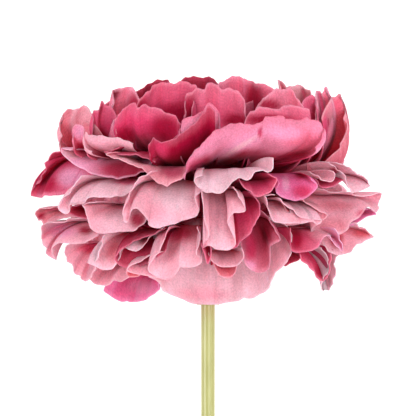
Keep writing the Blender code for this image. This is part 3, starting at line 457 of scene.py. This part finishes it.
def colour_with_painted_light(dye, light_and_dye_pools, grid, length, v, draw):
    """The colour over a petal: dark at its root and pale at its cut edge, unevenly, with patches of other dye and of
    painted highlight and painted shade. The pale edge is partly the cloth's own and partly a painted highlight along
    the rim. A pair of dye names joined by a dash goes from the first to the second along the edge."""
    streak = np.zeros(len(length))
    for wavelength in (31, 17, 9):
        streak += 0.4 * np.sin(2 * math.pi * length / wavelength + draw.uniform(0, 2 * math.pi))
    reach = np.clip(v[None, :] + 0.06 * streak[:, None], 0, 1)[..., None]
    first, _, second = dye.partition("-")
    bodies = []
    for name in (first, second or first):
        root, body, _, depth = (np.array(c) for c in DYES_AND_PAINTED_LIGHT[name])
        bodies.append(blend(root, body, smoothstep(depth, depth + 0.35, reach)))
    along = smoothstep(0.25, 0.75, length / length[-1])[:, None, None]
    color = blend(bodies[0], bodies[1], along)
    rim = blend(np.array(DYES_AND_PAINTED_LIGHT[first][2]), np.array(DYES_AND_PAINTED_LIGHT[second or first][2]), along)
    rib = np.linalg.norm(np.diff(grid, axis=1), axis=2).sum(axis=1).mean()
    from_edge = ((1 - v) * rib)[None, :, None]
    # Paler towards the edge: partly the cut cloth's own, partly a painted highlight along the rim.
    color = blend(color, rim, 0.25 * smoothstep(9, 1, from_edge))
    for name, right, up, wide, high, *turn in light_and_dye_pools:
        c, s = math.cos(math.radians(sum(turn))), math.sin(math.radians(sum(turn)))
        x, y = grid[..., 0] - right, grid[..., 1] - up
        far = np.hypot((x * c + y * s) / wide, (y * c - x * s) / high)
        color = blend(color, np.array(DYES_AND_PAINTED_LIGHT[name][1]), 0.92 * smoothstep(1.35, 0.45, far)[..., None])
    # A thin pale line along the edge, partly a painted highlight along the rim.
    return blend(color, rim, 0.5 * smoothstep(1.4, 0.3, from_edge))


def scalloped(edge, length, draw):
    """The edge with the small uneven scallops of cut cloth."""
    away = edge / np.maximum(np.linalg.norm(edge[:, [0, 2]], axis=1, keepdims=True), 1)
    bumps = np.zeros(len(length))
    for wavelength, size in ((9, 0.28), (5, 0.24), (3.1, 0.18)):
        stretch = draw.uniform(0.85, 1.2)
        bumps += size * np.sin(2 * math.pi * length / (wavelength * stretch) + draw.uniform(0, 2 * math.pi))
    across = np.gradient(edge, axis=0)
    across /= np.maximum(np.linalg.norm(across, axis=1, keepdims=True), 1e-6)
    away -= across * (away * across).sum(axis=1, keepdims=True)
    away /= np.maximum(np.linalg.norm(away, axis=1, keepdims=True), 1e-6)
    return edge + away * bumps[:, None]


def add_petal(cloth, edge, length, kind, height, dye, light_and_dye_pools, draw, strength=1.0):
    edge = scalloped(edge, length, draw)
    v = 1 - 0.9 * np.linspace(1, 0, STATIONS) ** 1.5
    grid = ruffled(ribs_to(edge, kind, height, v), length, v, draw, strength)
    cloth.add(pressed(laid_down(grid)), colour_with_painted_light(dye, light_and_dye_pools, grid, length, v, draw), threads(grid))


def threads(grid):
    """Each point's place in the flat cloth, in millimetres: across from the middle rib, and out from the root."""
    out = np.linalg.norm(np.diff(grid, axis=1, prepend=grid[:, :1]), axis=2).cumsum(axis=1)
    across = np.linalg.norm(np.diff(grid, axis=0, prepend=grid[:1]), axis=2).cumsum(axis=0)
    across -= across[len(across) // 2]
    return np.stack([across, out], axis=-1)


def node(tree, kind, inputs=(), **settings):
    made = tree.nodes.new(kind)
    for key, value in settings.items():
        setattr(made, key, value)
    for key, value in dict(inputs).items():
        if isinstance(value, bpy.types.NodeSocket):
            tree.links.new(value, made.inputs[key])
        else:
            made.inputs[key].default_value = value
    return made


def new_material(name):
    material = bpy.data.materials.new(name)
    material.use_nodes = True
    tree = material.node_tree
    return material, tree, tree.nodes["Principled BSDF"]


def petal_cloth():
    material, tree, shader = new_material("petal_cloth")
    # The point colours, with the painted highlights and painted shade in them.
    dye = node(tree, "ShaderNodeVertexColor", layer_name="dye")
    place = node(tree, "ShaderNodeUVMap", uv_map="cloth")
    warp = node(tree, "ShaderNodeTexWave", {"Vector": place.outputs[0], "Scale": 0.55, "Distortion": 2.5,
        "Detail": 2.0}, bands_direction="X")
    weft = node(tree, "ShaderNodeTexWave", {"Vector": place.outputs[0], "Scale": 0.55, "Distortion": 2.5,
        "Detail": 2.0}, bands_direction="Y")
    weave = node(tree, "ShaderNodeMath", {0: warp.outputs["Fac"], 1: weft.outputs["Fac"]}, operation="MULTIPLY")
    blotch = node(tree, "ShaderNodeTexNoise", {"Vector": place.outputs[0], "Scale": 0.09, "Detail": 4.0})
    grain = node(tree, "ShaderNodeTexNoise", {"Vector": place.outputs[0], "Scale": 1.4, "Detail": 2.0})
    thread = node(tree, "ShaderNodeMapRange", {"Value": weave.outputs[0], "To Min": 0.95, "To Max": 1.04})
    cloudy = node(tree, "ShaderNodeMapRange", {"Value": blotch.outputs["Fac"], "From Min": 0.3, "From Max": 0.7,
        "To Min": 0.80, "To Max": 1.16})
    speck = node(tree, "ShaderNodeMapRange", {"Value": grain.outputs["Fac"], "From Min": 0.3, "From Max": 0.7,
        "To Min": 0.85, "To Max": 1.13})
    light = node(tree, "ShaderNodeMath", {0: thread.outputs[0], 1: cloudy.outputs[0]}, operation="MULTIPLY")
    light = node(tree, "ShaderNodeMath", {0: light.outputs[0], 1: speck.outputs[0]}, operation="MULTIPLY")
    color = node(tree, "ShaderNodeVectorMath", {0: dye.outputs["Color"]}, operation="SCALE")
    tree.links.new(light.outputs[0], color.inputs["Scale"])
    tree.links.new(color.outputs[0], shader.inputs["Base Color"])
    height = node(tree, "ShaderNodeMath", {0: weave.outputs[0], 1: grain.outputs["Fac"]}, operation="ADD")
    bump = node(tree, "ShaderNodeBump", {"Height": height.outputs[0], "Strength": 0.5, "Distance": 0.00012})
    tree.links.new(bump.outputs[0], shader.inputs["Normal"])
    shader.inputs["Subsurface Weight"].default_value = 0.45
    shader.inputs["Subsurface Radius"].default_value = (1.0, 0.28, 0.38)
    shader.inputs["Subsurface Scale"].default_value = 0.0016
    shader.inputs["Roughness"].default_value = 0.85
    shader.inputs["Sheen Weight"].default_value = 0.02
    shader.inputs["Sheen Roughness"].default_value = 0.5
    shader.inputs["Specular IOR Level"].default_value = 0.04
    return material


def glossy_green():
    """Yellow-green plastic, streaked along the stem, with a tan tinge at its top."""
    material, tree, shader = new_material("stem_plastic")
    place = node(tree, "ShaderNodeTexCoord")
    streak = node(tree, "ShaderNodeMapping", {"Vector": place.outputs["Object"], "Scale": (400, 25, 400)})
    noise = node(tree, "ShaderNodeTexNoise", {"Vector": streak.outputs[0], "Scale": 1.0, "Detail": 3.0})
    ramp = node(tree, "ShaderNodeValToRGB", {"Fac": noise.outputs["Fac"]})
    ramp.color_ramp.elements[0].position = 0.3
    ramp.color_ramp.elements[0].color = (0.35, 0.35, 0.12, 1)
    ramp.color_ramp.elements[1].position = 0.7
    ramp.color_ramp.elements[1].color = (0.41, 0.41, 0.155, 1)
    along = node(tree, "ShaderNodeSeparateXYZ", {"Vector": place.outputs["Object"]})
    tinge = node(tree, "ShaderNodeMapRange", {"Value": along.outputs["Y"], "From Min": 0.029, "From Max": 0.036,
        "To Max": 0.7})
    color = node(tree, "ShaderNodeMixRGB", {"Fac": tinge.outputs[0], "Color1": ramp.outputs[0],
        "Color2": (0.40, 0.30, 0.11, 1)})
    tree.links.new(color.outputs[0], shader.inputs["Base Color"])
    bump = node(tree, "ShaderNodeBump", {"Height": noise.outputs["Fac"], "Strength": 0.04, "Distance": 0.0002})
    tree.links.new(bump.outputs[0], shader.inputs["Normal"])
    shader.inputs["Roughness"].default_value = 0.08
    return material


def wire_steel():
    material, tree, shader = new_material("wire_steel")
    place = node(tree, "ShaderNodeTexCoord")
    noise = node(tree, "ShaderNodeTexNoise", {"Vector": place.outputs["Object"], "Scale": 900.0, "Detail": 2.0})
    rough = node(tree, "ShaderNodeMapRange", {"Value": noise.outputs["Fac"], "To Min": 0.25, "To Max": 0.5})
    tree.links.new(rough.outputs[0], shader.inputs["Roughness"])
    tone = node(tree, "ShaderNodeValToRGB", {"Fac": noise.outputs["Fac"]})
    tone.color_ramp.elements[0].color = (0.35, 0.35, 0.36, 1)
    tone.color_ramp.elements[1].color = (0.6, 0.6, 0.6, 1)
    tree.links.new(tone.outputs[0], shader.inputs["Base Color"])
    shader.inputs["Metallic"].default_value = 1.0
    return material


def studio_floor():
    mesh = bpy.data.meshes.new("floor")
    half = 3.0
    mesh.from_pydata([(-half, -half, 0), (half, -half, 0), (half, half, 0), (-half, half, 0)], [], [(0, 1, 2, 3)])
    floor = bpy.data.objects.new("floor", mesh)
    bpy.context.scene.collection.objects.link(floor)
    material, tree, shader = new_material("floor")
    place = node(tree, "ShaderNodeTexCoord")
    noise = node(tree, "ShaderNodeTexNoise", {"Vector": place.outputs["Object"], "Scale": 3.0, "Detail": 2.0})
    tone = node(tree, "ShaderNodeValToRGB", {"Fac": noise.outputs["Fac"]})
    tone.color_ramp.elements[0].color = (0.93, 0.93, 0.93, 1)
    tone.color_ramp.elements[1].color = (0.95, 0.95, 0.95, 1)
    tree.links.new(tone.outputs[0], shader.inputs["Base Color"])
    shader.inputs["Roughness"].default_value = 0.9
    shader.inputs["Emission Color"].default_value = (1, 1, 1, 1)
    shader.inputs["Emission Strength"].default_value = 0.2
    mesh.materials.append(material)


def flower_direction(right, up, front):
    """A direction of the flower's frame, in the world."""
    c, s = math.cos(TILT), math.sin(TILT)
    return Vector((right, up * c - front * s, up * s + front * c))


def facing(place, target, top):
    """A matrix at the place that looks along -Z at the target, with top towards its upper side."""
    back = (place - target).normalized()
    right = top.cross(back).normalized()
    upper = back.cross(right)
    turn = Matrix((right, upper, back)).transposed().to_4x4()
    return Matrix.Translation(place) @ turn


def add_camera():
    target = Vector(laid_down((0, VIEW_UP, 0)) * MM)
    place = target + flower_direction(0, 0, 1) * VIEW_DISTANCE * MM
    camera = bpy.data.objects.new("camera", bpy.data.cameras.new("camera"))
    camera.data.sensor_width = 36.0
    camera.data.lens = 36.0 * VIEW_DISTANCE / VIEW_WIDTH
    camera.data.clip_end = 20.0
    camera.matrix_world = facing(place, target, flower_direction(0, 1, 0))
    bpy.context.scene.collection.objects.link(camera)
    bpy.context.scene.camera = camera


def add_light(name, direction, size, power):
    """A soft box that faces the bloom: its direction is in the flower's frame."""
    target = Vector(laid_down((0, VIEW_UP, 0)) * MM)
    place = target + flower_direction(*direction).normalized() * LIGHT_DISTANCE
    lamp = bpy.data.lights.new(name, "AREA")
    lamp.shape = "RECTANGLE"
    lamp.size, lamp.size_y = size
    lamp.energy = power
    light = bpy.data.objects.new(name, lamp)
    light.matrix_world = facing(place, target, flower_direction(0, 1, 0.01))
    bpy.context.scene.collection.objects.link(light)


def studio_light():
    world = bpy.data.worlds.new("studio")
    bpy.context.scene.world = world
    world.use_nodes = True
    world.node_tree.nodes["Background"].inputs["Color"].default_value = (1, 1, 1, 1)
    world.node_tree.nodes["Background"].inputs["Strength"].default_value = 0.7
    add_light("key", (0.45, -0.1, 1.0), (1.5, 1.5), 20.0)
    add_light("right_strip", (1.2, -0.2, 0.95), (0.09, 1.8), 7.0)
    add_light("left_strip", (-1.2, -0.2, 0.9), (0.09, 1.8), 3.0)
    add_light("left_box", (-0.8, 0.15, 0.9), (0.6, 1.2), 13.0)
    add_light("top_box", (0.0, 1.0, 0.6), (1.2, 0.6), 3.0)


# The rings of petals at the back: their way of growing, the height of a root or crest, that of the edge, how many,
# their dye, how far out they reach, and how far those at the sides do, which the front view hides.
BACK_RINGS = (
    ("skirt", 22, 10, 6, "dusty", 0.68, 0.40),
    ("skirt", 34, 20, 8, "blush", 1.0, 0.68),
    ("skirt", 47, 33, 8, "pale", 1.0, 0.76),
    ("skirt", 60, 46, 8, "blush", 1.0, 0.76),
    ("cup", 40, 66, 8, "rose", 1.0, 0.76),
    ("cup", 40, 79, 6, "pink", 1.0, 0.78),
)
BACK_FROM = 92  # degrees round from the front

# The furled petals at the heart.
HEART_COUNT = 24
HEART_RADIUS = 24.0
HEART_TOP = 80.0

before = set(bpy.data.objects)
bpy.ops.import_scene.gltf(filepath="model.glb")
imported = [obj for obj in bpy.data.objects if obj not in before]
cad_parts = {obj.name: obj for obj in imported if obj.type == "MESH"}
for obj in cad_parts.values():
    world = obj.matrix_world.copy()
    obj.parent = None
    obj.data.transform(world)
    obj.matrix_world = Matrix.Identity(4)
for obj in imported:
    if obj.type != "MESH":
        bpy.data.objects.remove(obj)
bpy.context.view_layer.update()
bpy.context.scene.view_settings.view_transform = "Standard"
add_camera()
studio_light()
studio_floor()

draw = random.Random(11)
material = petal_cloth()
skirt = Cloth()
crown = Cloth()
for name, (kind, dye, height, off, outline) in PETALS.items():
    flat, length = smooth_line(outline, GRID)
    front = dome_front(flat[:, 0], flat[:, 1])
    front = blend(front.mean(), front, FOLLOW) + off
    edge = np.column_stack([flat, front])
    cloth = skirt if kind == "skirt" else crown
    add_petal(cloth, edge, length, kind, height, dye, LIGHT_AND_DYE_POOLS.get(name, ()), draw, 0.6)

back = Cloth()
for kind, height, low, count, dye, reach, side in BACK_RINGS:
    for k in range(count):
        around = math.radians(BACK_FROM + (360 - 2 * BACK_FROM) * (k + 0.5) / count + draw.uniform(-2, 2))
        half = math.radians(0.62 * (360 - 2 * BACK_FROM) / count)
        s = np.linspace(-1, 1, 40)
        up = low + draw.uniform(-2, 2) + (8 if kind == "skirt" else -8) * s**2
        aside = smoothstep(155, BACK_FROM, math.degrees(min(around, 2 * math.pi - around)))
        out = dome_front(0, up) * blend(reach, side, aside)
        edge = np.column_stack([out * np.sin(around + half * s), up, out * np.cos(around + half * s)])
        length = np.linspace(0, 2 * half * out.mean(), 40)
        add_petal(back, edge, length, kind, height, dye, (), draw)

heart = Cloth()
for k in range(HEART_COUNT):
    far = 1.5 + HEART_RADIUS * math.sqrt(k / HEART_COUNT)
    wide = 4.5 + 0.3 * far + draw.uniform(-1, 2)
    top = HEART_TOP - 0.012 * far**2 + draw.uniform(-2.5, 1.5)
    s = np.linspace(-1, 1, 32)
    edge = np.column_stack([wide * s, top - 7 * s**4 - 1.5 * np.cos(7 * s), far + 2.5 - 5 * s**2])
    length = np.linspace(0, 2 * wide, 32)
    dye = draw.choice(("rose", "crimson"))
    add_petal(heart, turned(edge, k * math.radians(137.508)), length, "cup", 44, dye, (), draw)

pieces = [cloth.make(name, material) for name, cloth in
    (("skirt_petals", skirt), ("crown_petals", crown), ("back_petals", back), ("heart_petals", heart))]
for piece in pieces:
    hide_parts("bloom")

green = glossy_green()
for name in ("stem", "calyx"):
    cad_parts[name].data.materials.clear()
    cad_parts[name].data.materials.append(green)
    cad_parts[name].data.shade_smooth()
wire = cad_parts["stem_wire"]
wire.data.materials.clear()
wire.data.materials.append(wire_steel())
